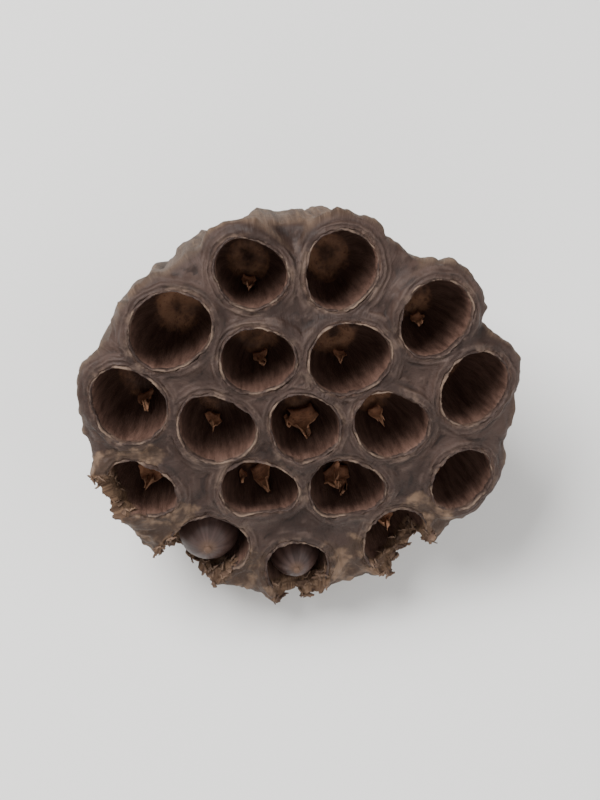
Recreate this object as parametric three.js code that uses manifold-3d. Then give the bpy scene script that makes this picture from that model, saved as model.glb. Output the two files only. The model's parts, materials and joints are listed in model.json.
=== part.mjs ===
// A dried lotus pod: the shrunken seed head of a lotus flower, cut from its plant with a stub of stalk.
//
// The head is one spongy bowl. Its domed face is a web between round pits, one for each seed.
// Most seeds have dropped out of their pits. Beside some outer pits the dry rim has torn open.
// The pod is modelled upright about +Z. It then lies down on its flank and its stalk, with its face forwards.

import * as THREE from "three";
import { mergeVertices } from "three/addons/utils/BufferGeometryUtils.js";
import Module from "manifold-3d";

// Bowl, in millimetres
const RIM_RADIUS = 38; // widest radius of the bowl
const RIM_HEIGHT = 36; // from the stalk up to the widest radius
const SHOULDER = 2.6; // rounding between the flank and the face
const FACE_DOME = 4.6; // rise of the face above the shoulder
const NECK_RADIUS = 5.6; // where the bowl grows out of the stalk
const BOWL_SIDES = 126;
const FLANK_STEPS = 14;
const SHOULDER_STEPS = 3;
const FACE_STEPS = 4;

// Seed pits
const PIT_RINGS = [
  { count: 1, radius: 0, start: 0 },
  { count: 6, radius: 16, start: -4 },
  { count: 11, radius: 30, start: 265 },
];
const PIT_RADIUS = 6.4; // mean radius of a pit's mouth
const PIT_VARIES = 0.6; // and how far one pit differs from the next
const PIT_OVAL = 0.07; // share by which a mouth is out of round
const PIT_DEPTH = 17;
const PIT_WALL = 2.4; // web left between two pits
const PIT_SPLAY = 13; // outward lean of the outer pits, in degrees
const PIT_SIDES = 18;
const LIP_HEIGHT = 1; // raised collar round each mouth
const LIP_WIDTH = 3.6;
const LIP_WAVE = 0.4; // rise and fall along a lip
const SETTLE_PASSES = 80; // rounds in which crowded pits push each other apart

// Shrinking
const LOBE = 1.9; // swell of the flank over each outer pit
const FURROWS = 13; // deep folds that run down the flank to the stalk
const FURROW_DEPTH = 3.2;
const DENTS = 3; // broad hollows where the bowl has fallen in
const DENT_DEPTH = 2.2;
const RIDGES = 28; // fine ribs between the folds
const RIDGE_HEIGHT = 0.28;
const RIM_WAVE = 1.3; // rise and fall of the rim
const OVAL = 0.04; // share by which the bowl is wider than it is deep
const STALK_OFFSET = 2.4; // sideways pull of the stalk

// Torn notches in the rim: direction in degrees, and size
const TEARS = [
  { angle: 196, width: 9, depth: 7 },
  { angle: 229, width: 13, depth: 10.5 },
  { angle: 265, width: 10, depth: 4 },
  { angle: 300, width: 12, depth: 8 },
];
const TEAR_TEETH = 7; // points along each torn edge
const TEAR_JAG = 1.5;

// Stalk
const STALK_RADIUS = 4.7;
const STALK_LENGTH = 12.5;
const STALK_SIDES = 26;
const STALK_RIBS = 9;
const STALK_RIB_HEIGHT = 0.6;
const CANALS = 6; // air canals that run up the stalk
const CANAL_RADIUS = 0.75;
const CANAL_DEPTH = 4;
const CANAL_CIRCLE = 2.5;

// Seeds
const SEED_PLACES = [0, 10]; // the outer pits that still hold their seed
const SEED_LENGTH = 14;
const SEED_FILL = 0.82; // radius of a seed as a share of its pit's
const SEED_SIDES = 14;
const SEED_STEPS = 9;
const SEED_SINK = -0.4; // top of the seed below the lip

// Lying down
const LEAN = 47; // tilt of the pod's axis from upright, in degrees
const SHIFT = new THREE.Vector3(-0.9, 20.4, 11.5); // brings the resting pod over the origin
const SEAT_GAP = 0.3; // clearance that keeps touching pieces apart

const FINENESS = 0.03; // slivers smaller than this are merged
const RANDOM_SEED = 4.7;
const TURN = 2 * Math.PI;
const degrees = THREE.MathUtils.degToRad;
const clamp = THREE.MathUtils.clamp;

const wasm = await Module();
wasm.setup();

// The same number between 0 and 1 for the same key, whenever it is asked for.
function chance(key) {
  const wave = Math.sin(key * 127.1 + RANDOM_SEED) * 43758.5453;
  return wave - Math.floor(wave);
}

// A closed geometry with only shared positions left, without the triangles that collapse at a lathe's poles.
function welded(geometry) {
  const bare = new THREE.BufferGeometry();
  bare.setAttribute("position", geometry.getAttribute("position"));
  bare.setIndex(geometry.index);
  const merged = mergeVertices(bare, 1e-4);
  const kept = [];
  const index = merged.index.array;
  for (let i = 0; i < index.length; i += 3) {
    const [a, b, c] = index.slice(i, i + 3);
    if (a !== b && b !== c && c !== a) kept.push(a, b, c);
  }
  return merged.setIndex(kept);
}

// Moves every vertex of a welded geometry by a function of its place.
function reshaped(geometry, move) {
  const position = geometry.getAttribute("position");
  const point = new THREE.Vector3();
  for (let i = 0; i < position.count; i++) {
    point.fromBufferAttribute(position, i);
    const moved = move(point);
    position.setXYZ(i, moved.x, moved.y, moved.z);
  }
  return geometry;
}

function solidOf(geometry) {
  const vertProperties = new Float32Array(geometry.getAttribute("position").array);
  const triVerts = new Uint32Array(geometry.index.array);
  return new wasm.Manifold(new wasm.Mesh({ numProp: 3, vertProperties, triVerts }));
}

function geometryOf(solid) {
  const mesh = solid.getMesh();
  const geometry = new THREE.BufferGeometry();
  geometry.setAttribute("position", new THREE.BufferAttribute(mesh.vertProperties, 3));
  geometry.setIndex(new THREE.BufferAttribute(mesh.triVerts, 1));
  geometry.computeVertexNormals();
  return geometry;
}

// A turned shape about +Z. The profile's points are radius and height, from the axis and back to it, upwards.
function turned(profile, sides) {
  const points = profile.map(([radius, height]) => new THREE.Vector2(radius, height));
  return welded(new THREE.LatheGeometry(points, sides).rotateX(Math.PI / 2));
}

// Height of the plump face at a distance from the axis.
function faceHeight(distance) {
  const edge = RIM_RADIUS - SHOULDER;
  const share = Math.min(distance / edge, 1);
  return RIM_HEIGHT + SHOULDER + FACE_DOME * (1 - share * share);
}

// Places of the pits on the face: rings, in which crowded pits then push each other apart inside the rim.
function pitLayout() {
  const pits = [];
  PIT_RINGS.forEach((ring, ringIndex) => {
    for (let k = 0; k < ring.count; k++) {
      const angle = degrees(ring.start + (360 / ring.count) * k);
      const key = pits.length;
      pits.push({
        ring: ringIndex,
        place: k,
        x: ring.radius * Math.cos(angle) + 1.6 * (chance(key) - 0.5),
        y: ring.radius * Math.sin(angle) + 1.6 * (chance(key + 50) - 0.5),
        radius: PIT_RADIUS + PIT_VARIES * (2 * chance(key + 100) - 1),
        turn: chance(key + 150),
      });
    }
  });
  for (let pass = 0; pass < SETTLE_PASSES; pass++) {
    pits.forEach((a, i) =>
      pits.slice(i + 1).forEach((b) => {
        const gap = Math.hypot(b.x - a.x, b.y - a.y);
        const push = (a.radius + b.radius + PIT_WALL - gap) / 4;
        if (push <= 0) return;
        const alongX = ((b.x - a.x) / gap) * push;
        const alongY = ((b.y - a.y) / gap) * push;
        a.x -= alongX;
        a.y -= alongY;
        b.x += alongX;
        b.y += alongY;
      }),
    );
    for (const pit of pits) {
      const reach = Math.hypot(pit.x, pit.y);
      const most = RIM_RADIUS - 1.4 - pit.radius;
      if (reach <= most) continue;
      pit.x *= most / reach;
      pit.y *= most / reach;
    }
  }
  for (const pit of pits) pit.angle = Math.atan2(pit.y, pit.x);
  return pits;
}

const pits = pitLayout();
const outerRing = PIT_RINGS.length - 1;
const outerPits = pits.filter((pit) => pit.ring === outerRing);

// A bump of height 1 and of the given half-width in angle, at zero.
function bump(angle, halfWidth) {
  const wrapped = Math.atan2(Math.sin(angle), Math.cos(angle));
  return Math.exp(-((wrapped / halfWidth) ** 2));
}

// Where a point of the plump pod goes when the pod dries.
function shrivel(point) {
  const angle = Math.atan2(point.y, point.x);
  const share = Math.hypot(point.x, point.y) / RIM_RADIUS;
  const up = clamp(point.z / RIM_HEIGHT, 0, 1);
  const onFlank = 4 * up * (1 - up) + 0.3 * up;
  const nearRim = up * share * share;

  let swell = 0;
  for (const pit of outerPits) swell += bump(angle - pit.angle, 0.2);
  let move = LOBE * (swell - 0.6) * nearRim * up;
  for (let k = 0; k < FURROWS; k++) {
    const home = (TURN / FURROWS) * (k + 0.7 * chance(k + 200)) + 0.2 * (up - 0.5);
    const depth = FURROW_DEPTH * (0.25 + 0.75 * chance(k + 230));
    move -= depth * onFlank * share * share * bump(angle - home, 0.07 + 0.08 * chance(k + 260));
  }
  for (let k = 0; k < DENTS; k++) {
    const home = (TURN / DENTS) * (k + 0.5 * chance(k + 290));
    move -= DENT_DEPTH * onFlank * share * share * bump(angle - home, 0.3 + 0.25 * chance(k + 300));
  }
  move += RIDGE_HEIGHT * onFlank * share * Math.cos(RIDGES * angle + 1.5 * Math.sin(3 * angle));

  const stretch = 1 + move / (RIM_RADIUS * Math.max(share, 0.1));
  const slow = 0.6 * Math.cos(2 * angle + 0.7) + 0.5 * Math.cos(3 * angle - 1.1);
  const wave = slow + 0.4 * Math.cos(5 * angle + 2);
  return new THREE.Vector3(
    point.x * stretch * (1 + OVAL) - STALK_OFFSET * (1 - up) ** 2,
    point.y * stretch * (1 - OVAL),
    point.z + RIM_WAVE * wave * nearRim,
  );
}

// The bowl without its pits: a flank that flares from the stalk, a rounded shoulder and a domed face.
function bowlSolid() {
  const flank = new THREE.CubicBezierCurve(
    new THREE.Vector2(NECK_RADIUS, 0),
    new THREE.Vector2(0.62 * RIM_RADIUS, 0.02 * RIM_HEIGHT),
    new THREE.Vector2(0.98 * RIM_RADIUS, 0.4 * RIM_HEIGHT),
    new THREE.Vector2(RIM_RADIUS, RIM_HEIGHT),
  );
  const profile = [[0, 0]];
  for (const point of flank.getPoints(FLANK_STEPS)) profile.push([point.x, point.y]);
  for (let k = 1; k <= SHOULDER_STEPS; k++) {
    const turn = ((Math.PI / 2) * k) / SHOULDER_STEPS;
    profile.push([RIM_RADIUS - SHOULDER * (1 - Math.cos(turn)), RIM_HEIGHT + SHOULDER * Math.sin(turn)]);
  }
  for (let k = 1; k <= FACE_STEPS; k++) {
    const distance = (RIM_RADIUS - SHOULDER) * (1 - k / FACE_STEPS);
    profile.push([distance, faceHeight(distance)]);
  }
  return solidOf(reshaped(turned(profile, BOWL_SIDES), shrivel));
}

// The matrix that carries a shape about +Z, with its mouth at zero, to a pit on the dried face.
function pitMatrix(pit) {
  const distance = Math.hypot(pit.x, pit.y);
  const mouth = shrivel(new THREE.Vector3(pit.x, pit.y, faceHeight(distance)));
  const lean = degrees(PIT_SPLAY) * (distance / RIM_RADIUS);
  const across = new THREE.Vector3(-pit.y, pit.x, 0).normalize();
  const turn = new THREE.Quaternion().setFromAxisAngle(across, lean);
  return new THREE.Matrix4().compose(mouth, turn, new THREE.Vector3(1, 1, 1));
}

// A mouth as it grew: out of round, and wavy along its lip.
function outOfRound(pit) {
  return (point) => {
    const angle = Math.atan2(point.y, point.x);
    const oval = Math.cos(2 * angle + TURN * pit.turn) + 0.4 * Math.cos(3 * angle);
    const stretch = 1 + PIT_OVAL * oval;
    const lift = point.z > 0 ? LIP_WAVE * Math.cos(2 * angle - TURN * pit.turn) : 0;
    return new THREE.Vector3(point.x * stretch, point.y * stretch, point.z + lift);
  };
}

// The raised collar round a pit's mouth, as a low mound that the pit is then cut through.
function lipSolid(pit) {
  const r = pit.radius;
  const mound = turned(
    [
      [0, -11],
      [r, -11],
      [r + 0.7 * LIP_WIDTH, -4.5],
      [r + 0.92 * LIP_WIDTH, -1.6],
      [r + 0.55 * LIP_WIDTH, 0.5 * LIP_HEIGHT],
      [r + 0.12 * LIP_WIDTH, LIP_HEIGHT],
      [0, LIP_HEIGHT],
    ],
    PIT_SIDES,
  ).rotateZ(Math.PI / PIT_SIDES);
  return solidOf(reshaped(mound, outOfRound(pit)).applyMatrix4(pitMatrix(pit)));
}

// The hollow of a pit: slightly wider inside than at its mouth, with the scar where the seed hung as a nub.
function pitSolid(pit) {
  const r = pit.radius;
  const hollow = turned(
    [
      [0, 2 - PIT_DEPTH],
      [0.24 * r, 0.5 - PIT_DEPTH],
      [0.5 * r, -PIT_DEPTH],
      [0.86 * r, -0.74 * PIT_DEPTH],
      [1.03 * r, -0.32 * PIT_DEPTH],
      [0.97 * r, -0.3],
      [1.06 * r, LIP_HEIGHT + 0.6],
      [1.2 * r, LIP_HEIGHT + 2.4],
      [0, LIP_HEIGHT + 2.4],
    ],
    PIT_SIDES,
  );
  return solidOf(reshaped(hollow, outOfRound(pit)).applyMatrix4(pitMatrix(pit)));
}

// A ragged notch through the rim: a toothed outline, driven outwards through the wall.
function tearSolid(tear, index) {
  const outline = [new THREE.Vector2(-0.75 * tear.width, 8), new THREE.Vector2(0.75 * tear.width, 8)];
  for (let k = 0; k <= TEAR_TEETH; k++) {
    const along = 1 - (2 * k) / TEAR_TEETH;
    const jag = TEAR_JAG * (2 * chance(400 + 20 * index + k) - 1);
    const down = -tear.depth * (1 - along * along) + jag;
    outline.push(new THREE.Vector2(0.5 * along * tear.width + 0.4 * jag, down));
  }
  const notch = new THREE.ExtrudeGeometry(new THREE.Shape(outline), { depth: 24, bevelEnabled: false });
  const angle = degrees(tear.angle);
  const outwards = new THREE.Vector3(Math.cos(angle), Math.sin(angle), 0);
  const upwards = new THREE.Vector3(0, 0, 1);
  const sideways = new THREE.Vector3().crossVectors(upwards, outwards);
  const place = new THREE.Matrix4().makeBasis(sideways, upwards, outwards);
  place.setPosition(outwards.clone().multiplyScalar(RIM_RADIUS - 7).setZ(RIM_HEIGHT + SHOULDER));
  return solidOf(welded(notch).applyMatrix4(place));
}

// The stub of stalk below the bowl: ribbed, swelling into the neck, torn across its end, with air canals.
function stalkSolid() {
  const profile = [
    [0, -STALK_LENGTH],
    [0.55 * STALK_RADIUS, -STALK_LENGTH],
    [0.93 * STALK_RADIUS, -STALK_LENGTH],
    [STALK_RADIUS, -0.88 * STALK_LENGTH],
    [0.96 * STALK_RADIUS, -0.55 * STALK_LENGTH],
    [STALK_RADIUS, -0.25 * STALK_LENGTH],
    [0.96 * NECK_RADIUS, -SEAT_GAP],
    [0, -SEAT_GAP],
  ];
  const stalk = reshaped(turned(profile, STALK_SIDES), (point) => {
    const angle = Math.atan2(point.y, point.x);
    const share = Math.hypot(point.x, point.y) / STALK_RADIUS;
    const down = clamp(-point.z / STALK_LENGTH, 0, 1);
    const beat = Math.cos(STALK_RIBS * angle + 1.5 * Math.sin(2 * angle) + 1.2 * down);
    const rib = STALK_RIB_HEIGHT * (0.6 + 0.4 * Math.cos(2 * angle + 1)) * beat * Math.min(4 * down, 1);
    const torn = down > 0.99 ? 0.9 * share * Math.cos(3 * angle + 1) : 0;
    const stretch = 1 + (rib * share) / STALK_RADIUS;
    return new THREE.Vector3(
      point.x * stretch - STALK_OFFSET - 1.2 * down * down,
      point.y * stretch,
      point.z + torn,
    );
  });
  let made = solidOf(stalk);
  for (let k = 0; k < CANALS; k++) {
    const angle = (TURN * k) / CANALS;
    const canal = new THREE.CylinderGeometry(CANAL_RADIUS, 0.7 * CANAL_RADIUS, CANAL_DEPTH + 4, 7);
    canal.rotateX(-Math.PI / 2);
    canal.translate(
      CANAL_CIRCLE * Math.cos(angle) - STALK_OFFSET - 1.2,
      CANAL_CIRCLE * Math.sin(angle),
      -STALK_LENGTH - 2 + CANAL_DEPTH / 2,
    );
    made = made.subtract(solidOf(welded(canal)));
  }
  return made;
}

// A seed: an oval nut with the point of its withered style on top, lying on the lower wall of its pit.
function seedSolid(pit, size) {
  const length = SEED_LENGTH * size;
  const radius = SEED_FILL * pit.radius;
  const profile = [];
  for (let k = 0; k <= SEED_STEPS; k++) {
    const turn = (Math.PI * k) / SEED_STEPS;
    profile.push([radius * Math.sin(turn), -0.5 * length * Math.cos(turn)]);
  }
  profile[SEED_STEPS] = [0.14 * radius, 0.5 * length];
  profile.push([0.1 * radius, 0.5 * length + 0.9], [0, 0.5 * length + 0.9]);
  const seed = turned(profile, SEED_SIDES);
  const slack = 0.89 * pit.radius - radius - SEAT_GAP;
  seed.translate(0, -slack, -SEED_SINK - 0.5 * length);
  return solidOf(seed.applyMatrix4(pitMatrix(pit)));
}

// The floor in the upright pod's own frame. What it takes off leaves the flat spots that the pod rests on.
const lying = new THREE.Matrix4().makeRotationX(degrees(LEAN)).setPosition(SHIFT);
const floor = new THREE.BoxGeometry(300, 300, 40).translate(0, 0, -20).applyMatrix4(lying.clone().invert());
const floorSolid = solidOf(welded(floor));

function receptacle() {
  let made = bowlSolid();
  for (const pit of pits) made = made.add(lipSolid(pit));
  for (const pit of pits) made = made.subtract(pitSolid(pit));
  TEARS.forEach((tear, index) => {
    made = made.subtract(tearSolid(tear, index));
  });
  made = made.subtract(floorSolid);
  const whole = made.decompose().sort((a, b) => b.volume() - a.volume())[0];
  return geometryOf(whole.asOriginal().simplify(FINENESS));
}

function stalkStub() {
  const made = stalkSolid().subtract(floorSolid);
  return geometryOf(made.asOriginal().simplify(FINENESS));
}

const podSkin = new THREE.MeshStandardMaterial({ color: 0x5b483c, roughness: 0.8, metalness: 0 });
const stalkWood = new THREE.MeshStandardMaterial({ color: 0x957559, roughness: 0.9, metalness: 0 });
const seedShell = new THREE.MeshStandardMaterial({ color: 0x40322c, roughness: 0.5, metalness: 0 });

function node(name, geometry, material) {
  const mesh = new THREE.Mesh(geometry, material);
  mesh.name = name;
  return mesh;
}

const pod = new THREE.Group();
pod.rotation.x = degrees(LEAN);
pod.position.copy(SHIFT);
pod.add(node("receptacle", receptacle(), podSkin));
pod.add(node("stalk_stub", stalkStub(), stalkWood));

SEED_PLACES.forEach((place, k) => {
  const size = 0.96 + 0.08 * chance(500 + k);
  pod.add(node(`seed_${k + 1}`, geometryOf(seedSolid(outerPits[place], size)), seedShell));
});

const part = new THREE.Group();
part.add(pod);

export default part;
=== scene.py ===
import json
import math

import bmesh
import bpy
import numpy as np
from mathutils import Matrix, Vector, noise

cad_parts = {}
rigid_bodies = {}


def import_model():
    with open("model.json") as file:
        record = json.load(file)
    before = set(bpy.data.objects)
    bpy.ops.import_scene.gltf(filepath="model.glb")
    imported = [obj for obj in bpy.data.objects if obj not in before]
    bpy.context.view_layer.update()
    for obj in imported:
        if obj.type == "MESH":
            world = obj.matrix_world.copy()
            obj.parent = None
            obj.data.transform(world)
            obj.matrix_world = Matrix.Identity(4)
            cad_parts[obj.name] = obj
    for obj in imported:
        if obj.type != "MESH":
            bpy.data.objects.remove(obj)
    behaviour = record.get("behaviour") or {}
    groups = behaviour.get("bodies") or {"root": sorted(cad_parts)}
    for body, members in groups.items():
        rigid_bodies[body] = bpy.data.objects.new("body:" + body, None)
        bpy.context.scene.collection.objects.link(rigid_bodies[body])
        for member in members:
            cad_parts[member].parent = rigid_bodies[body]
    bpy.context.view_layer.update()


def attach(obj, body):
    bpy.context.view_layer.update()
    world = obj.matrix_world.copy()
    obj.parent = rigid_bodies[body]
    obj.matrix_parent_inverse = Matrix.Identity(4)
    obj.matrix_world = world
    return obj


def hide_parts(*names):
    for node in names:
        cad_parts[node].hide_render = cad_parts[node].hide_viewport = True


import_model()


# The bowl of the pod is the swollen, spongy end of a lotus stem, dried to a dull brown husk. It grew in one
# piece: a flank that shrank into folds, and a face of leathery web between the pits that held the seeds.
# Lengths are in millimetres, with the pod upright about +Z, as in the solids that it stands for.
RIM_RADIUS = 38
RIM_HEIGHT = 36
SHOULDER = 2.6
FACE_DOME = 4.6
NECK_RADIUS = 5.6
PIT_RINGS = [(1, 0, 0), (6, 16, -4), (11, 30, 265)]  # pits, radius of the ring, first direction
PIT_RADIUS = 6.4
PIT_VARIES = 0.6
PIT_OVAL = 0.07
PIT_DEPTH = 17
PIT_WALL = 2.4
PIT_SPLAY = 13
LIP_HEIGHT = 1
LIP_WIDTH = 3.6
LIP_WAVE = 0.4
LOBE = 1.9
FURROWS = 13
FURROW_DEPTH = 3.2
DENTS = 3
DENT_DEPTH = 2.2
RIDGES = 28
RIDGE_HEIGHT = 0.28
RIM_WAVE = 1.3
OVAL = 0.04
STALK_OFFSET = 2.4
TEARS = [(196, 9, 7), (229, 13, 10.5), (265, 10, 4), (300, 12, 8)]  # direction, width, depth
SEEDED = [0, 10]  # pits of the outer ring
CREASES = 64
# Pits with a sagged lower lip, and how far it moves across, inwards and up.
SAGGED = {0: (0, 0.7, 0.3), 5: (0.5, 2.4, 0.9), 6: (-0.6, 2.2, 0.8), 8: (-0.8, 1.4, 0.5), 16: (1, 1.2, 0.4)}
BOWL_SIDES = 280
PIT_SIDES = 60
SKIN_STEP = 0.6
LEAN = 47
TURN = 2 * math.pi
lying = Matrix.Translation((-0.0009, 0.0204, 0.0115)) @ Matrix.Rotation(math.radians(LEAN), 4, "X")
lying = lying @ Matrix.Scale(0.001, 4)


def chance(key):
    wave = math.sin(key * 127.1 + 4.7) * 43758.5453
    return wave - math.floor(wave)


def settled_pits():
    """Rings of pits, in which crowded pits push each other apart inside the rim."""
    pits = []
    for ring, (count, radius, start) in enumerate(PIT_RINGS):
        for k in range(count):
            angle = math.radians(start + 360 / count * k)
            key = len(pits)
            x = radius * math.cos(angle) + 1.6 * (chance(key) - 0.5)
            y = radius * math.sin(angle) + 1.6 * (chance(key + 50) - 0.5)
            size = PIT_RADIUS + PIT_VARIES * (2 * chance(key + 100) - 1)
            pits.append({"ring": ring, "x": x, "y": y, "radius": size, "turn": chance(key + 150)})
    for sweep in range(80):
        for i, a in enumerate(pits):
            for b in pits[i + 1:]:
                gap = math.hypot(b["x"] - a["x"], b["y"] - a["y"])
                push = (a["radius"] + b["radius"] + PIT_WALL - gap) / 4
                if push > 0:
                    along = (b["x"] - a["x"]) / gap * push, (b["y"] - a["y"]) / gap * push
                    a["x"] -= along[0]
                    a["y"] -= along[1]
                    b["x"] += along[0]
                    b["y"] += along[1]
        for pit in pits:
            reach = math.hypot(pit["x"], pit["y"])
            most = RIM_RADIUS - 1.4 - pit["radius"]
            if reach > most:
                pit["x"] *= most / reach
                pit["y"] *= most / reach
    return pits


pits = settled_pits()
outer_pits = [pit for pit in pits if pit["ring"] == 2]


def wrapped(angle):
    return np.arctan2(np.sin(angle), np.cos(angle))


def swell(angle, half_width):
    return np.exp(-(wrapped(angle) / half_width) ** 2)


def ramp(value, low, high):
    share = np.clip((value - low) / (high - low), 0, 1)
    return share * share * (3 - 2 * share)


def shrivelled(at):
    """Where points of the plump pod go when it dries."""
    angle = np.arctan2(at[:, 1], at[:, 0])
    share = np.hypot(at[:, 0], at[:, 1]) / RIM_RADIUS
    up = np.clip(at[:, 2] / RIM_HEIGHT, 0, 1)
    on_flank = 4 * up * (1 - up) + 0.3 * up
    near_rim = up * share * share
    lobes = sum(swell(angle - math.atan2(pit["y"], pit["x"]), 0.2) for pit in outer_pits)
    move = LOBE * (lobes - 0.6) * near_rim * up
    for k in range(FURROWS):
        home = TURN / FURROWS * (k + 0.7 * chance(k + 200)) + 0.2 * (up - 0.5)
        depth = FURROW_DEPTH * (0.25 + 0.75 * chance(k + 230))
        move -= depth * on_flank * share ** 2 * swell(angle - home, 0.07 + 0.08 * chance(k + 260))
    for k in range(DENTS):
        home = TURN / DENTS * (k + 0.5 * chance(k + 290))
        move -= DENT_DEPTH * on_flank * share ** 2 * swell(angle - home, 0.3 + 0.25 * chance(k + 300))
    move += RIDGE_HEIGHT * on_flank * share * np.cos(RIDGES * angle + 1.5 * np.sin(3 * angle))
    stretch = 1 + move / (RIM_RADIUS * np.maximum(share, 0.1))
    wave = 0.6 * np.cos(2 * angle + 0.7) + 0.5 * np.cos(3 * angle - 1.1) + 0.4 * np.cos(5 * angle + 2)
    return np.stack([
        at[:, 0] * stretch * (1 + OVAL) - STALK_OFFSET * (1 - up) ** 2,
        at[:, 1] * stretch * (1 - OVAL),
        at[:, 2] + RIM_WAVE * wave * near_rim,
    ], axis=1)


def face_height(distance):
    share = min(distance / (RIM_RADIUS - SHOULDER), 1)
    return RIM_HEIGHT + SHOULDER + FACE_DOME * (1 - share * share)


def softened(outline, rounds):
    """An outline with its corners cut again and again until it is smooth."""
    points = [np.array(point, float) for point in outline]
    for sweep in range(rounds):
        cut = [points[0]]
        for a, b in zip(points, points[1:]):
            cut += [0.75 * a + 0.25 * b, 0.25 * a + 0.75 * b]
        points = cut + [points[-1]]
    return points


def spun(outline, sides, ring=False):
    """A closed shape turned about +Z from its outline of radii and heights, which a ring closes on itself."""
    form = bmesh.new()
    line = [form.verts.new((radius, 0, height)) for radius, height in outline]
    edges = [form.edges.new(pair) for pair in zip(line, line[1:] + (line[:1] if ring else []))]
    bmesh.ops.spin(form, geom=line + edges, axis=(0, 0, 1), angle=TURN, steps=sides, use_merge=True)
    bmesh.ops.remove_doubles(form, verts=form.verts, dist=1e-4)
    bmesh.ops.recalc_face_normals(form, faces=form.faces)
    mesh = bpy.data.meshes.new("form")
    form.to_mesh(mesh)
    form.free()
    return mesh


def places(mesh):
    flat = np.empty(3 * len(mesh.vertices))
    mesh.vertices.foreach_get("co", flat)
    return flat.reshape(-1, 3)


def put(mesh, at):
    mesh.vertices.foreach_set("co", np.ascontiguousarray(at, dtype=np.float32).ravel())
    mesh.update()


def shown(name, mesh):
    piece = bpy.data.objects.new(name, mesh)
    bpy.context.scene.collection.objects.link(piece)
    return piece


def shaped(mesh, changes, skin_step=None):
    """The mesh once each group of shapes is joined to it or cut from it, under one even skin where a step is given."""
    rough = shown("rough", mesh)
    groups = []
    for operation, shapes in changes:
        group = bpy.data.collections.new("shapes")
        bpy.context.scene.collection.children.link(group)
        for shape in shapes:
            group.objects.link(bpy.data.objects.new("shape", shape))
        change = rough.modifiers.new("change", "BOOLEAN")
        change.operation = operation
        change.operand_type = "COLLECTION"
        change.collection = group
        change.solver = "MANIFOLD"
        groups.append(group)
    if skin_step:
        skin = rough.modifiers.new("skin", "REMESH")
        skin.mode = "VOXEL"
        skin.voxel_size = skin_step
    made = bpy.data.meshes.new_from_object(rough.evaluated_get(bpy.context.evaluated_depsgraph_get()))
    made.materials.clear()
    for group in groups:
        for piece in list(group.objects):
            bpy.data.objects.remove(piece)
        bpy.data.collections.remove(group)
    bpy.data.objects.remove(rough)
    return made


def laid(mesh):
    """Lays an upright piece down as the pod lies, with nothing under the floor."""
    mesh.transform(lying)
    at = places(mesh)
    at[:, 2] = np.maximum(at[:, 2], 0)
    put(mesh, at)


def mark(mesh, **fields):
    """Keeps a value or a vector for each point of a mesh, for its material to read."""
    for name, values in fields.items():
        kind, part = ("FLOAT", "value") if values.ndim == 1 else ("FLOAT_VECTOR", "vector")
        mesh.attributes.new(name, kind, "POINT").data.foreach_set(part, values.astype(np.float32).ravel())


def pit_frame(pit):
    """Where the mouth of a pit is on the dried face, and which way it looks."""
    distance = math.hypot(pit["x"], pit["y"])
    mouth = shrivelled(np.array([[pit["x"], pit["y"], face_height(distance)]]))[0]
    lean = math.radians(PIT_SPLAY) * distance / RIM_RADIUS
    across = Vector((-pit["y"], pit["x"], 0)).normalized()
    return Matrix.Translation(mouth) @ Matrix.Rotation(lean, 4, across)


def mouth_oval(pit, angle):
    return 1 + PIT_OVAL * (np.cos(2 * angle + TURN * pit["turn"]) + 0.4 * np.cos(3 * angle))


def in_pit(pit, mesh):
    """Bends a turned shape out of round as its pit is, and moves it there."""
    at = places(mesh)
    angle = np.arctan2(at[:, 1], at[:, 0])
    at[:, :2] *= mouth_oval(pit, angle)[:, None]
    at[:, 2] += np.where(at[:, 2] > 0, LIP_WAVE * np.cos(2 * angle - TURN * pit["turn"]), 0)
    put(mesh, at)
    mesh.transform(pit_frame(pit))
    return mesh


def sag(at, number):
    """How far points in or beside a pit move where its lower lip has sagged into it."""
    stand = np.array(pit_frame(pits[number]))
    local = (at - stand[:3, 3]) @ stand[:3, :3]
    turn = np.arctan2(local[:, 1], local[:, 0])
    off = np.hypot(local[:, 0], local[:, 1]) - pits[number]["radius"] * mouth_oval(pits[number], turn)
    share = np.exp(-(wrapped(turn + TURN / 4) / 0.75) ** 2) * np.exp(-((off - 0.4) / 1.7) ** 2)
    return (share * ramp(local[:, 2], -7, 0))[:, None] * (stand[:3, :3] @ SAGGED[number])


def collar(pit):
    r = pit["radius"]
    outline = [(0, -11), (r, -11), (r + 0.7 * LIP_WIDTH, -4.5), (r + 0.92 * LIP_WIDTH, -1.6)]
    outline += [(r + 0.55 * LIP_WIDTH, 0.5 * LIP_HEIGHT), (r + 0.12 * LIP_WIDTH, LIP_HEIGHT), (0, LIP_HEIGHT)]
    return in_pit(pit, spun(softened(outline, 2), PIT_SIDES))


def hollow(pit):
    r = pit["radius"]
    outline = [(0, 2 - PIT_DEPTH), (0.24 * r, 0.5 - PIT_DEPTH), (0.5 * r, -PIT_DEPTH), (0.86 * r, -0.74 * PIT_DEPTH)]
    outline += [(1.03 * r, -0.32 * PIT_DEPTH), (0.97 * r, -0.3), (1.06 * r, LIP_HEIGHT + 0.6)]
    outline += [(1.2 * r, LIP_HEIGHT + 2.4), (0, LIP_HEIGHT + 2.4)]
    return in_pit(pit, spun(softened(outline, 2), PIT_SIDES))


def tear_edge(index, side):
    """Height of a torn edge against the rim, at a share of its width from -1 to 1."""
    depth = TEARS[index][2]
    teeth = np.linspace(1, -1, 8)
    jags = np.array([1.5 * (2 * chance(400 + 20 * index + k) - 1) for k in range(8)])
    return np.interp(side, teeth[::-1], (-depth * (1 - teeth ** 2) + jags)[::-1])


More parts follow.
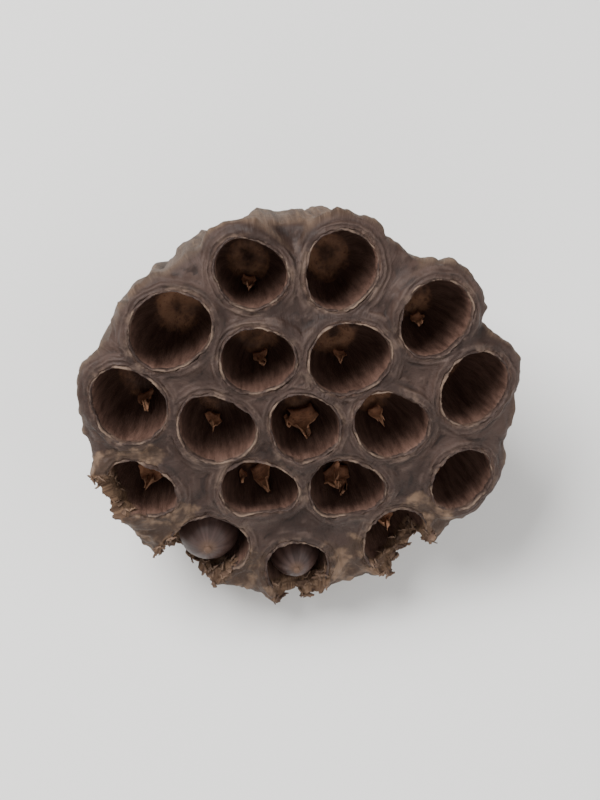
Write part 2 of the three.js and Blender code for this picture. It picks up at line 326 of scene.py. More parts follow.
def tear_frame(index):
    angle = math.radians(TEARS[index][0])
    out = Vector((math.cos(angle), math.sin(angle), 0))
    aside = Vector((0, 0, 1)).cross(out)
    turn = Matrix((aside, (0, 0, 1), out)).transposed().to_4x4()
    return Matrix.Translation((RIM_RADIUS - 7) * out + Vector((0, 0, RIM_HEIGHT + SHOULDER))) @ turn


def notch(index):
    """The ragged gap of a tear: a toothed face, driven outwards through the rim."""
    width = TEARS[index][1]
    sides = np.linspace(1, -1, 41)
    frays = np.array([0.9 * (chance(900 + 60 * index + k) - 0.5) for k in range(41)])
    outline = [(-0.75 * width, 8), (0.75 * width, 8)]
    outline += [(0.5 * width * side, drop) for side, drop in zip(sides, tear_edge(index, sides) + frays)]
    form = bmesh.new()
    face = form.faces.new([form.verts.new((x, y, 0)) for x, y in outline])
    grown = bmesh.ops.extrude_face_region(form, geom=[face])["geom"]
    bmesh.ops.translate(form, vec=(0, 0, 24), verts=[v for v in grown if isinstance(v, bmesh.types.BMVert)])
    bmesh.ops.triangulate(form, faces=form.faces)
    bmesh.ops.recalc_face_normals(form, faces=form.faces)
    form.transform(tear_frame(index))
    mesh = bpy.data.meshes.new("notch")
    form.to_mesh(mesh)
    form.free()
    return mesh


def plump_bowl():
    t = np.linspace(0, 1, 70)[:, None]
    neck, belly = np.array([NECK_RADIUS, 0]), np.array([0.62 * RIM_RADIUS, 0.02 * RIM_HEIGHT])
    waist, rim = np.array([0.98 * RIM_RADIUS, 0.4 * RIM_HEIGHT]), np.array([RIM_RADIUS, RIM_HEIGHT])
    flank = (1 - t) ** 3 * neck + 3 * (1 - t) ** 2 * t * belly + 3 * (1 - t) * t * t * waist
    flank = flank + t ** 3 * rim
    outline = [(0, 0)] + [tuple(point) for point in flank]
    for k in range(1, 9):
        turn = math.pi / 2 * k / 8
        outline.append((RIM_RADIUS - SHOULDER * (1 - math.cos(turn)), RIM_HEIGHT + SHOULDER * math.sin(turn)))
    for k in range(1, 29):
        distance = (RIM_RADIUS - SHOULDER) * (1 - k / 28)
        outline.append((distance, face_height(distance)))
    mesh = spun(outline, BOWL_SIDES)
    put(mesh, shrivelled(places(mesh)))
    return mesh


bowl_mesh = shaped(plump_bowl(), [
    ("UNION", [collar(pit) for pit in pits]),
    ("DIFFERENCE", [hollow(pit) for pit in pits]),
    ("DIFFERENCE", [notch(index) for index in range(len(TEARS))]),
], SKIN_STEP)

soft = bmesh.new()
soft.from_mesh(bowl_mesh)
for sweep in range(2):
    bmesh.ops.smooth_vert(soft, verts=soft.verts, factor=0.5, use_axis_x=True, use_axis_y=True, use_axis_z=True)
soft.to_mesh(bowl_mesh)
soft.free()


def rustle(points):
    """Smooth noise, about -1 to 1, at each point."""
    return np.array([noise.noise(point) for point in points.tolist()])


def facing(mesh):
    flat = np.empty(3 * len(mesh.vertices))
    mesh.vertex_normals.foreach_get("vector", flat)
    return flat.reshape(-1, 3)


# Each point of the skin: its place round the flank, and its place in or beside the nearest pit.
at = places(bowl_mesh)
normal = facing(bowl_mesh)
up = np.clip(at[:, 2] / RIM_HEIGHT, 0, 1)
centred = at[:, :2] + np.stack([STALK_OFFSET * (1 - up) ** 2, np.zeros(len(at))], axis=1)
angle = np.arctan2(centred[:, 1], centred[:, 0])
reach = np.hypot(centred[:, 0], centred[:, 1])
beside = np.full(len(at), 99.0)
pit_local = np.zeros((len(at), 3))
pit_number = np.zeros(len(at), int)
looks_in = np.zeros(len(at))
for number, pit in enumerate(pits):
    back = np.array(pit_frame(pit).inverted())
    local = at @ back[:3, :3].T + back[:3, 3]
    turned = normal @ back[:3, :3].T
    off = np.hypot(local[:, 0], local[:, 1])
    inwards = -(turned[:, 0] * local[:, 0] + turned[:, 1] * local[:, 1]) / np.maximum(off, 0.01)
    off = off - pit["radius"] * mouth_oval(pit, np.arctan2(local[:, 1], local[:, 0]))
    nearer = off + np.maximum(-PIT_DEPTH - 2 - local[:, 2], 0) < beside
    beside = np.where(nearer, off, beside)
    pit_local[nearer] = local[nearer]
    pit_number[nearer] = number
    looks_in[nearer] = np.maximum(inwards, turned[:, 2])[nearer]
height = pit_local[:, 2]
pit_angle = np.arctan2(pit_local[:, 1], pit_local[:, 0])
in_hollow = ramp(beside, 0.85, 0.4) * ramp(height, 0.9, -0.1) * ramp(looks_in, 0.0, 0.3)
in_hollow *= ramp(height, -PIT_DEPTH - 1.4, -PIT_DEPTH - 0.8)
on_lip = np.exp(-((beside - 0.5) / 0.8) ** 2) * np.exp(-((height - 0.7) / 0.9) ** 2)
on_face = ramp(normal[:, 2], 0.15, 0.6) * ramp(at[:, 2], 33, 36) * (1 - in_hollow)
on_flank = (1 - on_face) * (1 - in_hollow)
torn = np.zeros(len(at))
worn = np.zeros(len(at))
for index, tear in enumerate(TEARS):
    back = np.array(tear_frame(index).inverted())
    local = at @ back[:3, :3].T + back[:3, 3]
    aside = local[:, 0] / (0.5 * tear[1])
    side = np.clip(aside, -1.3, 1.3)
    edge = np.abs(local[:, 1] - np.minimum(tear_edge(index, side), 1.0))
    fade = ramp(np.abs(side), 1.3, 0.95) * ramp(local[:, 2], -4, 0)
    torn = np.maximum(torn, np.exp(-(edge / 2.2) ** 2) * fade)
    fade = ramp(np.abs(aside), 2.6, 1.2) * ramp(local[:, 2], -11, -2)
    worn = np.maximum(worn, np.exp(-(edge / 8.5) ** 2) * fade * (1 - in_hollow))
crease = np.zeros(len(at))
for k in range(CREASES):
    low = 0.5 * chance(k + 680) ** 2
    high = low + 0.35 + 0.55 * chance(k + 720)
    path = TURN * (k + 0.9 * chance(k + 600)) / CREASES + 0.25 * (chance(k + 640) - 0.5) * (up - 0.5)
    path = path + 0.014 * np.sin(8 * up + 6 * chance(k + 660))
    line = np.exp(-(wrapped(angle - path) * reach / (0.42 + 0.4 * chance(k + 760))) ** 2)
    line *= ramp(up, low - 0.1, low + 0.14) * ramp(up, high + 0.14, high - 0.14)
    crease = np.maximum(crease, (0.25 + 0.75 * chance(k + 800) ** 2) * line)
crease *= on_flank
fibre = np.stack([np.cos(angle) * 17, np.sin(angle) * 17, at[:, 2] / 22], axis=1)
pit_fibre = np.stack([np.cos(pit_angle) * 4, np.sin(pit_angle) * 4, height / 11], axis=1)
pit_fibre += 7.3 * pit_number[:, None]

# The small forms: ribs and creases down the flank, wrinkles round the pits, frayed lips, torn edges and crumbly skin.
share = reach / RIM_RADIUS
ribs = 0.45 * rustle(fibre) + 0.2 * rustle(2.4 * fibre)
crest = np.maximum(0, 1 - np.abs(rustle(0.3 * fibre + 11)) / 0.2)
ridge = on_flank * np.maximum(ramp(ribs, 0.12, 0.4), 0.8 * ramp(crest, 0.3, 1))
move = on_flank * share * (ribs + 0.3 * rustle(at / 6) + 0.75 * crest)
move -= 1.1 * crease
round_pit = np.stack([beside / 0.9, 1.7 * np.cos(pit_angle), 1.7 * np.sin(pit_angle) + 3.1 * pit_number], axis=1)
wrinkle = on_face * ramp(beside, 0.5, 1.2) * (rustle(round_pit) + 0.6 * rustle(1.9 * round_pit + 4))
move += on_face * (0.45 * rustle(at / 7) + 0.35 * rustle(at / 3.4) + 0.22 * rustle(at / 1.5)) + 0.34 * wrinkle
seeded_pits = [len(pits) - len(outer_pits) + place for place in SEEDED]
close = np.where(np.isin(pit_number, seeded_pits), 0.35, 1.0)
below_lip = in_hollow * close * ramp(height, -0.2, -3.5)
move += below_lip * (0.5 * rustle(0.3 * pit_fibre) + 0.2 * rustle(pit_fibre))
move += worn * (0.35 * rustle(at / 1.3) + 0.3 * rustle(at / 2.3))
torn_fibre = np.stack([fibre[:, 0], fibre[:, 1], at[:, 2] / 4], axis=1)
move += torn * (0.8 * rustle(at / 1.5) + 0.5 * rustle(torn_fibre * 1.6))
at = at + normal * move[:, None]
axis = np.array([np.array(pit_frame(pit))[:3, 2] for pit in pits])[pit_number]
fray = 0.5 * rustle(1.4 * pit_fibre + 3) + 0.35 * rustle(3 * pit_fibre + 9)
at = at + axis * (on_lip * fray)[:, None]
for number in SAGGED:
    at = at + sag(at, number)
put(bowl_mesh, at)
skin_at, skin_facing, skin_torn = at, facing(bowl_mesh), torn
laid(bowl_mesh)
grain = np.where(in_hollow[:, None] > 0.5, 1.6 * pit_fibre, fibre)
mark(bowl_mesh, hollow=in_hollow, lip=on_lip, torn=torn, worn=worn, crease=crease, face=on_face, wrinkle=wrinkle)
mark(bowl_mesh, ridge=ridge, depth=-height / PIT_DEPTH, beside=beside, grain=grain)
bowl_mesh.shade_smooth()


class Thread:
    """One value in a material. Sums of threads add Math nodes to that material."""

    def __init__(self, tree, socket=None):
        self.tree = tree
        self.socket = socket

    def node(self, kind, settings=(), values=(), output=0):
        made = self.tree.nodes.new("ShaderNode" + kind)
        for name, value in dict(settings).items():
            setattr(made, name, value)
        for name, value in dict(values).items():
            if isinstance(value, Thread):
                self.tree.links.new(value.socket, made.inputs[name])
            else:
                made.inputs[name].default_value = value
        return Thread(self.tree, made.outputs[output])

    def maths(self, operation, *terms):
        return self.node("Math", {"operation": operation}, enumerate(terms))

    def __add__(self, other):
        return self.maths("ADD", self, other)

    def __sub__(self, other):
        return self.maths("SUBTRACT", self, other)

    def __rsub__(self, other):
        return self.maths("SUBTRACT", other, self)

    def __mul__(self, other):
        return self.maths("MULTIPLY", self, other)

    __radd__ = __add__
    __rmul__ = __mul__

    def between(self, low, high):
        """0 below low and 1 above high, with a soft step between."""
        return self.node("MapRange", {"interpolation_type": "SMOOTHSTEP"}, {0: self, 1: low, 2: high})

    def attribute(self, name, output="Fac"):
        return self.node("Attribute", {"attribute_name": name}, output=output)

    def tint(self, under, over):
        """The colour under, covered by the colour over as far as this value goes."""
        return self.node("Mix", {"data_type": "RGBA"}, {0: self, 6: under, 7: over}, output=2)

    def speckle(self, where, scale, detail, roughness):
        values = {"Vector": where, "Scale": scale, "Detail": detail, "Roughness": roughness}
        return self.node("TexNoise", {}, values)


def finish(name, paint):
    """A material whose surface is what paint makes of its node tree."""
    material = bpy.data.materials.new(name)
    material.use_nodes = True
    material.node_tree.nodes.clear()
    output = material.node_tree.nodes.new("ShaderNodeOutputMaterial")
    material.node_tree.links.new(paint(Thread(material.node_tree)).socket, output.inputs["Surface"])
    return material


def husk(m):
    place = m.node("TexCoord", output="Object")
    grain = m.attribute("grain", "Vector")
    hollow_part, lip, torn_part = m.attribute("hollow"), m.attribute("lip"), m.attribute("torn")
    crease_shade, face, wrinkle_shading = m.attribute("crease"), m.attribute("face"), m.attribute("wrinkle")
    depth, beside_pit = m.attribute("depth"), m.attribute("beside")
    blotch = m.speckle(place, 95.0, 4.0, 0.6)
    fine = m.speckle(place, 900.0, 3.0, 0.6)
    ripple = m.speckle(place, 260.0, 3.0, 0.6)
    streak = m.speckle(grain, 1.0, 5.0, 0.65)
    thread_lines = m.speckle(grain, 4.5, 4.0, 0.7)

    panel = m.speckle(grain, 0.14, 2.0, 0.5)
    flank = streak.between(0.3, 0.72).tint((0.044, 0.025, 0.016, 1), (0.118, 0.074, 0.05, 1))
    flank = (panel.between(0.45, 0.6) * 0.6).tint(flank, (0.078, 0.057, 0.045, 1))
    flank = (thread_lines.between(0.5, 0.7) * 0.55).tint(flank, (0.165, 0.11, 0.076, 1))
    flank = (thread_lines.between(0.45, 0.3) * 0.5).tint(flank, (0.03, 0.017, 0.011, 1))
    flank = (m.attribute("ridge") * ripple.between(0.42, 0.6) * 0.5).tint(flank, (0.2, 0.132, 0.086, 1))
    flank = (blotch.between(0.52, 0.72) * 0.5).tint(flank, (0.034, 0.02, 0.014, 1))
    # Painted shade: the creases down the flank are darkened in colour, as the shade that falls in them.
    flank = (crease_shade.between(0.25, 0.85) * 0.7).tint(flank, (0.018, 0.01, 0.007, 1))

    rings = m.maths("SINE", beside_pit * 6.5 + ripple * 9.0) * 0.5 + 0.5
    rings = rings * beside_pit.between(3.4, 0.9) * blotch.between(0.35, 0.55)
    web = blotch.between(0.35, 0.7).tint((0.028, 0.0155, 0.0118, 1), (0.058, 0.0345, 0.0268, 1))
    # Painted highlight and painted shade: the web is paler on the crests of its wrinkles and darker in their troughs.
    web = (wrinkle_shading.between(0.15, 0.7) * 0.5).tint(web, (0.095, 0.063, 0.05, 1))
    web = (wrinkle_shading.between(-0.1, -0.6) * 0.7).tint(web, (0.012, 0.0065, 0.005, 1))
    web = (rings * 0.35).tint(web, (0.1, 0.068, 0.055, 1))
    web = (fine.between(0.55, 0.75) * 0.35).tint(web, (0.018, 0.0105, 0.0085, 1))

    wall = streak.between(0.3, 0.7).tint((0.054, 0.0275, 0.02, 1), (0.13, 0.073, 0.055, 1))
    wall = (thread_lines.between(0.5, 0.72) * 0.4).tint(wall, (0.17, 0.102, 0.08, 1))
    # Painted shade: the pit walls darken towards the floor, as the shade deep in the pits.
    wall = (depth.between(0.35, 0.95) * 0.4).tint(wall, (0.05, 0.024, 0.016, 1))
    scar = (depth + ripple * 0.3 + fine * 0.12).between(1.08, 1.2) * blotch.between(0.4, 0.55)
    wall = scar.tint(wall, (0.3, 0.155, 0.09, 1))
    wall = (scar * fine.between(0.52, 0.66) * 0.6).tint(wall, (0.09, 0.042, 0.026, 1))

    colour = face.tint(flank, web)
    colour = hollow_part.tint(colour, wall)
    edge = lip * ripple.between(0.5, 0.68)
    colour = (edge * 0.7).tint(colour, (0.16, 0.108, 0.08, 1))
    crumbly = ripple.between(0.42, 0.64).tint((0.046, 0.027, 0.018, 1), (0.17, 0.108, 0.07, 1))
    colour = ((m.attribute("worn") + ripple * 0.9).between(0.74, 0.98) * 0.9).tint(colour, crumbly)
    frayed = thread_lines.between(0.3, 0.7).tint((0.052, 0.028, 0.017, 1), (0.175, 0.107, 0.066, 1))
    colour = torn_part.between(0.25, 0.7).tint(colour, frayed)

    relief = streak * 0.5 + thread_lines * 0.35 + fine * 0.25 + rings * face * 0.6
    bump = m.node("Bump", {}, {"Strength": 0.75, "Distance": 0.0006, "Height": relief})
    rough = 0.6 + blotch * 0.2 - hollow_part * 0.14 - face * 0.14 + torn_part * 0.15
    values = {"Base Color": colour, "Roughness": rough, "Normal": bump, "Specular IOR Level": 0.2}
    return m.node("BsdfPrincipled", {}, values)


bowl = shown("bowl", bowl_mesh)
bowl_mesh.materials.append(finish("dried_husk", husk))
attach(bowl, "root")
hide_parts("receptacle")


# The mouth of each pit ends in a thin, brittle edge of the bowl's own skin, which stands up here and is worn
# away there. It grew with the bowl, and where the rim is torn away so is the edge.
EDGE_STEPS = 120
SPLINTER = 0.02  # slivers this thin, which the cut leaves, are closed up


def brittle_edge(number, pit):
    r = pit["radius"]
    outline = [(r + 1.0, -0.8), (r + 0.72, 0.1), (r + 0.42, 0.8), (r + 0.26, 1.1), (r + 0.12, 1.05)]
    outline += [(r + 0.02, 0.5), (r - 0.05, -0.8)]
    mesh = spun(outline, EDGE_STEPS, ring=True)
    at = places(mesh)
    turn = np.arctan2(at[:, 1], at[:, 0])
    rise = ramp(at[:, 2], -0.4, 1.0)
    round_pit = np.stack([2.2 * np.cos(turn), 2.2 * np.sin(turn), np.full(len(at), 3.7 * number)], axis=1)
    stands = 0.55 * rustle(round_pit) + 0.3 * rustle(3.1 * round_pit) + 0.16 * rustle(8 * round_pit) - 0.12
    leans = 0.3 * rustle(1.3 * round_pit + 5) + 0.12 * rustle(6 * round_pit + 2)
    at[:, 2] += rise * stands
    at[:, :2] *= (1 + rise * leans / r)[:, None]
    put(mesh, at)
    mark(mesh, rise=rise)
    in_pit(pit, mesh)
    if number in SAGGED:
        put(mesh, places(mesh) + sag(places(mesh), number))
    return mesh


def joined(name, meshes):
    form = bmesh.new()
    for mesh in meshes:
        form.from_mesh(mesh)
        bpy.data.meshes.remove(mesh)
    whole = bpy.data.meshes.new(name)
    form.to_mesh(whole)
    form.free()
    return whole


edge_mesh = shaped(
    joined("edges", [brittle_edge(number, pit) for number, pit in enumerate(pits)]),
    [("DIFFERENCE", [notch(index) for index in range(len(TEARS))])],
)
sound = bmesh.new()
sound.from_mesh(edge_mesh)
bmesh.ops.remove_doubles(sound, verts=sound.verts, dist=SPLINTER)
sound.to_mesh(edge_mesh)
sound.free()
edge_mesh.transform(lying)
edge_mesh.shade_smooth()


def thin_husk(m):
    place = m.node("TexCoord", output="Object")
    rise = m.attribute("rise")
    patches = m.speckle(place, 240.0, 4.0, 0.6)
    fine = m.speckle(place, 1500.0, 3.0, 0.6)
    colour = fine.between(0.35, 0.7).tint((0.03, 0.018, 0.0145, 1), (0.066, 0.042, 0.034, 1))
    pale = rise.between(0.55, 1.0) * patches.between(0.46, 0.64)
    colour = (pale * 0.75).tint(colour, (0.2, 0.138, 0.1, 1))
    bump = m.node("Bump", {}, {"Strength": 0.4, "Distance": 0.0003, "Height": fine})
    rough = 0.58 + patches * 0.2
    values = {"Base Color": colour, "Roughness": rough, "Normal": bump, "Specular IOR Level": 0.2}
    return m.node("BsdfPrincipled", {}, values)


edges = shown("pit_edges", edge_mesh)
edge_mesh.materials.append(finish("thin_husk", thin_husk))
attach(edges, "root")


# Scraps of the cords and skins that tied the seeds in are left on the pit floors, as thin, curled, tan flakes.
# Along the torn rim the spongy tissue has frayed into flaps and fibres that still hang on by their roots.
SCRAP_THICKNESS = 0.2
FRAYS = 120
FRAY_SPACING = 1.1
# pit, length, width, place across the pit, below its middle and up it, slant and curl
SCRAPS = [
    (0, 7.4, 5.6, 0.3, -3.0, -14.9, 8, 0.12),
    (0, 3.2, 1.8, -1.9, -3.8, -14.0, -35, 0.3),
    (5, 6.8, 5.0, 0.2, -3.0, -14.6, 38, 0.2),
    (5, 3.4, 1.6, -2.8, -3.6, -13.8, -48, 0.4),
    (6, 6.8, 3.0, 0.9, -3.2, -14.4, -34, 0.25),
    (6, 5.0, 4.4, -1.4, -3.6, -14.0, 34, 0.3),
    (1, 3.8, 2.6, 0.0, -3.2, -14.6, 25, 0.15),
    (2, 3.4, 2.2, 0.4, -3.2, -14.6, -14, 0.2),
    (3, 4.2, 2.6, 0.6, -3.2, -14.6, 14, 0.2),
    (4, 5.0, 3.2, -1.0, -3.4, -14.4, -24, 0.25),
    (8, 5.8, 3.8, 0.4, -3.2, -14.4, 6, 0.2),
    (9, 4.0, 2.2, -0.6, -3.4, -14.2, -30, 0.3),
    (11, 3.4, 2.4, 0.3, -3.2, -14.6, 12, 0.2),
    (13, 4.4, 2.6, -0.3, -3.2, -14.6, -16, 0.2),
    (15, 5.2, 3.0, 0.6, -3.4, -14.2, 22, 0.3),
    (16, 6.2, 4.2, -0.4, -3.2, -14.2, -10, 0.25),
]


def flake(form, length, width, point, curl, key, stand):
    """A curled flake: its root at the origin of stand, growing along +X to a tip that is more or less pointed."""
    along = form.verts.layers.float["along"]
    made = bmesh.ops.create_grid(form, x_segments=8, y_segments=4, size=0.5)["verts"]
    for vert in made:
        t, side = vert.co.x + 0.5, 2 * vert.co.y
        fray = noise.noise((3 * t, 2 * side, 7.7 * key))
        ragged = noise.noise((5 * t, 3.3 * side, 3.1 * key))
        taper = (1 - point * t * t) * (0.8 + 0.3 * math.sin(math.pi * min(1.3 * t, 1)))
        vert[along] = t
        vert.co = (
            length * t * (1 + 0.5 * ragged * t - 0.25 * side * side * t),
            0.5 * width * taper * side * (1 + 0.6 * fray) + 0.14 * length * fray * t,
            length * curl * t * t + 0.16 * width * side * side + 0.1 * width * fray,
        )
    bmesh.ops.transform(form, matrix=stand, verts=made)


def scrap_stand(pit, across, low, deep, slant):
    """A flake that leans on the lower wall of its pit, from the floor up."""
    lean = Matrix.Rotation(math.radians(slant - 90), 4, "Z") @ Matrix.Rotation(math.radians(-58), 4, "Y")
    return pit_frame(pit) @ Matrix.Translation((across, low, deep)) @ lean


def sheeted(name, fill):
    """A mesh of the thin flakes that fill puts in."""
    form = bmesh.new()
    form.verts.layers.float.new("along")
    fill(form)
    bmesh.ops.recalc_face_normals(form, faces=form.faces)
    mesh = bpy.data.meshes.new(name)
    form.to_mesh(mesh)
    form.free()
    mesh.transform(lying)
    mesh.shade_smooth()
    return mesh


def fill_scraps(form):
    for key, (number, length, width, across, low, deep, slant, curl) in enumerate(SCRAPS):
        point = 0.45 + 0.4 * chance(key + 15)
        flake(form, length, width, point, curl, key, scrap_stand(pits[number], across, low, deep, slant))


def fill_frays(form):
    order = sorted(np.flatnonzero(skin_torn > 0.55).tolist(), key=lambda index: chance(0.37 * index))
    rooted = []
    for index in order:
        root, out = Vector(skin_at[index]), Vector(skin_facing[index])
        if len(rooted) == FRAYS or any((root - other).length < FRAY_SPACING for other in rooted):
            continue
        key = len(rooted)
        rooted.append(root)
        guide = Vector((0.02 * root.x + chance(key + 20) - 0.5, 0.02 * root.y + chance(key + 40) - 0.5, 0.9))
        along = (guide - 0.9 * guide.dot(out) * out).normalized()
        aside = out.cross(along).normalized()
        turn = Matrix((along, aside, along.cross(aside))).transposed().to_4x4()
        turn = turn @ Matrix.Rotation(0.7 * (chance(key + 60) - 0.5), 4, "X")
        fibre_like = key % 6 == 0
        length = 0.9 + 1.1 * chance(key + 80) if fibre_like else 0.8 + 0.8 * chance(key + 80)
        width = 0.16 + 0.16 * chance(key + 90) if fibre_like else 1.3 + 1.7 * chance(key + 90)
        point = 0.8 if fibre_like else 0.25 + 0.4 * chance(key + 30)
        curl = 0.4 * chance(key + 70) - 0.15
        flake(form, length, width, point, curl, 30 + key, Matrix.Translation(root - 0.3 * along - 0.1 * out) @ turn)


def torn_tissue(m, dark, pale, tip):
    place = m.node("TexCoord", output="Object")
    along = m.attribute("along")
    patches = m.speckle(place, 300.0, 4.0, 0.6)
    fine = m.speckle(place, 1600.0, 3.0, 0.6)
    colour = patches.between(0.35, 0.65).tint(dark, pale)
    colour = (along.between(0.3, 1.0) * 0.5).tint(colour, tip)
    colour = (fine.between(0.55, 0.7) * 0.4).tint(colour, (0.06, 0.03, 0.016, 1))
    bump = m.node("Bump", {}, {"Strength": 0.5, "Distance": 0.0003, "Height": fine})
    values = {"Base Color": colour, "Roughness": 0.75, "Normal": bump, "Specular IOR Level": 0.3}
    return m.node("BsdfPrincipled", {}, values)


for name, fill, dark, pale, tip in (
    # The pit scraps are an orange-tan tissue, but their colours are also brightened above the rim frays as painted
    # light that offsets the shade deep in the pits.
    ("pit_scraps", fill_scraps, (0.25, 0.108, 0.062, 1), (0.54, 0.26, 0.148, 1), (0.68, 0.38, 0.22, 1)),
    ("rim_frays", fill_frays, (0.055, 0.03, 0.02, 1), (0.13, 0.077, 0.05, 1), (0.22, 0.142, 0.094, 1)),
):
    mesh = sheeted(name, fill)
    flakes = shown(name, mesh)
    thick = flakes.modifiers.new("thickness", "SOLIDIFY")
    thick.thickness = 0.001 * SCRAP_THICKNESS
    thick.offset = 0
    mesh.materials.append(finish(name, lambda m: torn_tissue(m, dark, pale, tip)))
    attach(flakes, "root")


# The stub of stalk is the pithy, ribbed stem that the pod grew on, dried tan and as rough as cork.
# It grew into the neck of the bowl. Its end is broken across, and shows the air canals of the stem.
STALK_RADIUS = 4.7
STALK_LENGTH = 12.5
STALK_RIBS = 9
STALK_RIB_HEIGHT = 0.6
CANALS = 6
CANAL_RADIUS = 0.75
CANAL_DEPTH = 4
CANAL_CIRCLE = 2.5
STALK_STEP = 0.2


def canal(number):
    outline = [(0, CANAL_DEPTH), (0.7 * CANAL_RADIUS, CANAL_DEPTH), (CANAL_RADIUS, -4), (0, -4)]
    mesh = spun(outline, 16)
    turn = TURN * number / CANALS
    mesh.transform(Matrix.Translation((CANAL_CIRCLE * math.cos(turn), CANAL_CIRCLE * math.sin(turn), -STALK_LENGTH)))
    return mesh


def straight_stub():
    r, length = STALK_RADIUS, STALK_LENGTH
    outline = [(0, -length), (0.55 * r, -length), (0.93 * r, -length), (r, -0.88 * length), (0.96 * r, -0.55 * length)]
    outline += [(r, -0.25 * length), (0.93 * NECK_RADIUS, -0.1), (0.8 * NECK_RADIUS, 0.9), (0, 0.9)]
    return spun(softened(outline, 2), 72)


stub_mesh = shaped(straight_stub(), [("DIFFERENCE", [canal(number) for number in range(CANALS)])], STALK_STEP)
at = places(stub_mesh)
normal = facing(stub_mesh)
angle = np.arctan2(at[:, 1], at[:, 0])
share = np.hypot(at[:, 0], at[:, 1]) / STALK_RADIUS
down = np.clip(-at[:, 2] / STALK_LENGTH, 0, 1)
beat = np.cos(STALK_RIBS * angle + 1.5 * np.sin(2 * angle) + 1.2 * down)
rib = STALK_RIB_HEIGHT * (0.6 + 0.4 * np.cos(2 * angle + 1)) * beat * np.minimum(4 * down, 1)
stem_fibre = np.stack([5 * np.cos(angle), 5 * np.sin(angle), at[:, 2] / 5], axis=1)
side_on = ramp(share, 0.75, 0.9)
broken = ramp(down, 0.86, 0.97)
fissure = side_on * np.maximum(0, 1 - np.abs(rustle(0.7 * stem_fibre + 4)) / 0.16) * ramp(down, 0.02, 0.15)
crust = 0.28 * rustle(stem_fibre) + 0.16 * rustle(2.6 * stem_fibre) + 0.22 * rustle(at / 1.6)
at = at + normal * (side_on * crust - 0.55 * fissure)[:, None]
stretch = 1 + rib * share / STALK_RADIUS
splinter = 0.9 * share * np.cos(3 * angle + 1) + 0.8 * rustle(1.5 * stem_fibre * [1, 1, 0] + 8)
splinter = splinter + 0.35 * rustle(at / 0.7)
at = np.stack([
    at[:, 0] * stretch - STALK_OFFSET - 1.2 * down ** 2,
    at[:, 1] * stretch,
    at[:, 2] + broken * splinter,
], axis=1)
put(stub_mesh, at)
laid(stub_mesh)
mark(stub_mesh, fissure=fissure, broken=broken * (1 - 0.6 * side_on), down=down, grain=stem_fibre)
stub_mesh.shade_smooth()


def corky_stem(m):
    place = m.node("TexCoord", output="Object")
    grain = m.attribute("grain", "Vector")
    crack_shade, end, along = m.attribute("fissure"), m.attribute("broken"), m.attribute("down")
    streak = m.speckle(grain, 1.1, 5.0, 0.65)
    hairs = m.speckle(grain, 4.0, 4.0, 0.7)
    crumbs = m.speckle(place, 1300.0, 3.0, 0.6)
    blotch = m.speckle(place, 380.0, 3.0, 0.55)
    colour = streak.between(0.3, 0.7).tint((0.17, 0.098, 0.05, 1), (0.36, 0.245, 0.145, 1))
    colour = (hairs.between(0.55, 0.75) * 0.5).tint(colour, (0.46, 0.34, 0.22, 1))
    colour = (blotch.between(0.52, 0.7) * 0.5).tint(colour, (0.15, 0.085, 0.045, 1))
    colour = (crumbs.between(0.6, 0.72) * 0.45).tint(colour, (0.09, 0.05, 0.03, 1))
    # Painted shade: the fissures down the stub are darkened in colour, as the shade inside the cracks.
    colour = (crack_shade.between(0.2, 0.9) * 0.8).tint(colour, (0.06, 0.032, 0.018, 1))
    colour = (end * 0.75).tint(colour, (0.15, 0.09, 0.045, 1))
    colour = (along.between(0.12, 0.0) * 0.6).tint(colour, (0.1, 0.062, 0.04, 1))
    relief = streak * 0.5 + hairs * 0.3 + crumbs * 0.4
    bump = m.node("Bump", {}, {"Strength": 0.8, "Distance": 0.0005, "Height": relief})
    rough = 0.78 + blotch * 0.15
    values = {"Base Color": colour, "Roughness": rough, "Normal": bump, "Specular IOR Level": 0.3}
    return m.node("BsdfPrincipled", {}, values)


stub = shown("stub", stub_mesh)
stub_mesh.materials.append(finish("corky_stem", corky_stem))
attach(stub, "root")
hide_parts("stalk_stub")


# The seeds that stayed in their pits are oval nuts with a smooth, hard, purplish shell and a withered tip.
# Each lies loose in its pit, on the lower wall.
SEED_LENGTH = 14
SEED_FILL = 0.82
SEED_SINK = -0.4


def nut(pit, size):
    length, radius = SEED_LENGTH * size, SEED_FILL * pit["radius"]
    outline = []
    for k in range(40):
        turn = 0.97 * math.pi * k / 39
        outline.append((radius * math.sin(turn), -0.5 * length * math.cos(turn)))
    outline += [(0.12 * radius, 0.5 * length + 0.35), (0.13 * radius, 0.5 * length + 0.6)]
    outline += [(0.08 * radius, 0.5 * length + 0.9), (0, 0.5 * length + 0.85)]
    return spun(outline, 96)


def nut_shell(m):
    place = m.node("TexCoord", output="Object")
    grain = m.attribute("grain", "Vector")
    tip = m.attribute("tip")
    lines = m.speckle(grain, 1.0, 4.0, 0.6)
    hairs = m.speckle(grain, 5.0, 3.0, 0.6)
    bloom = m.speckle(place, 300.0, 4.0, 0.6)
    colour = lines.between(0.3, 0.7).tint((0.024, 0.0115, 0.009, 1), (0.06, 0.034, 0.028, 1))
    colour = (hairs.between(0.58, 0.72) * 0.35).tint(colour, (0.022, 0.013, 0.011, 1))
    colour = (bloom.between(0.52, 0.72) * 0.5).tint(colour, (0.085, 0.054, 0.047, 1))
    colour = (tip * 0.7).tint(colour, (0.12, 0.07, 0.045, 1))
    relief = lines * 0.5 + hairs * 0.3
    bump = m.node("Bump", {}, {"Strength": 0.35, "Distance": 0.0003, "Height": relief})
    rough = 0.36 + bloom * 0.22 + tip * 0.3
    values = {"Base Color": colour, "Roughness": rough, "Normal": bump, "Specular IOR Level": 0.3}
    return m.node("BsdfPrincipled", {}, values)


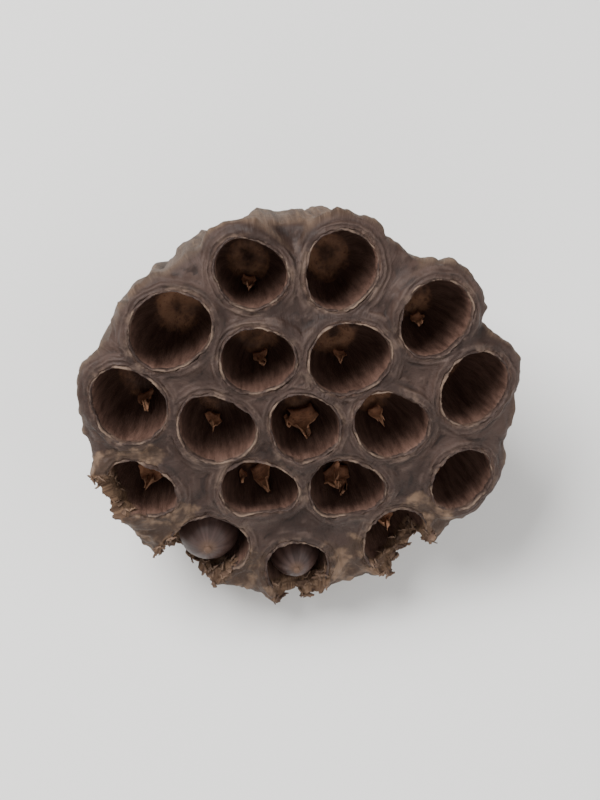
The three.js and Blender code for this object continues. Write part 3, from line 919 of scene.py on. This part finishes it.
shell = finish("nut_shell", nut_shell)
for number, place in enumerate(SEEDED):
    pit = outer_pits[place]
    size = 0.96 + 0.08 * chance(500 + number)
    mesh = nut(pit, size)
    at = places(mesh)
    angle = np.arctan2(at[:, 1], at[:, 0])
    length = SEED_LENGTH * size
    grain = np.stack([3 * np.cos(angle), 3 * np.sin(angle), at[:, 2] / 16 + 5 * number], axis=1)
    tip = ramp(at[:, 2], 0.5 * length - 0.5, 0.5 * length + 0.1)
    at = at + facing(mesh) * ((1 - tip) * (0.1 * rustle(grain) + 0.12 * rustle(at / 5)))[:, None]
    slack = 0.89 * pit["radius"] - SEED_FILL * pit["radius"] - 0.3
    put(mesh, at + [0, -slack, -SEED_SINK - 0.5 * length])
    mesh.transform(lying @ pit_frame(pit))
    mark(mesh, tip=tip, grain=grain)
    mesh.shade_smooth()
    seed = shown("nut_%d" % (number + 1), mesh)
    mesh.materials.append(shell)
    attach(seed, "root")
    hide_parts("seed_%d" % (number + 1))


# The floor is a plain pale sheet under soft light from a large window-like lamp above and two fills.
# The camera looks down on the pod, almost square to its pitted face.
FLOOR_HALF = 3
floor_form = bmesh.new()
bmesh.ops.create_grid(floor_form, x_segments=1, y_segments=1, size=FLOOR_HALF)
floor_mesh = bpy.data.meshes.new("floor")
floor_form.to_mesh(floor_mesh)
floor_form.free()
floor = shown("floor", floor_mesh)


def pale_paper(m):
    return m.node("BsdfPrincipled", {}, {"Base Color": (0.82, 0.81, 0.79, 1), "Roughness": 0.9})


floor_mesh.materials.append(finish("pale_paper", pale_paper))

world = bpy.data.worlds.new("room")
bpy.context.scene.world = world
world.use_nodes = True
world.node_tree.nodes["Background"].inputs["Color"].default_value = (1, 1, 1, 1)
world.node_tree.nodes["Background"].inputs["Strength"].default_value = 0.42

for name, place, size, power in (
    ("window", (-0.35, 0.25, 0.75), 0.5, 13.0),
    ("fill", (0.6, -0.35, 0.45), 0.7, 3.5),
    ("front", (-0.1, -0.7, 0.5), 0.6, 3.0),
):
    lamp = bpy.data.lights.new(name, "AREA")
    lamp.shape = "SQUARE"
    lamp.size = size
    lamp.energy = power
    holder = bpy.data.objects.new(name, lamp)
    holder.location = place
    holder.rotation_euler = (Vector((0, 0, 0.03)) - Vector(place)).to_track_quat("-Z", "Y").to_euler()
    bpy.context.scene.collection.objects.link(holder)

lens = bpy.data.cameras.new("camera")
lens.lens = 85
lens.clip_start = 0.01
camera = bpy.data.objects.new("camera", lens)
target = Vector((0, -0.002, 0.033))
azimuth, elevation, distance = math.radians(8), math.radians(67), 0.345
away = Vector((-math.sin(azimuth) * math.cos(elevation), -math.cos(azimuth) * math.cos(elevation), math.sin(elevation)))
camera.location = target + distance * away
camera.rotation_euler = (-away).to_track_quat("-Z", "Y").to_euler()
bpy.context.scene.collection.objects.link(camera)
bpy.context.scene.camera = camera
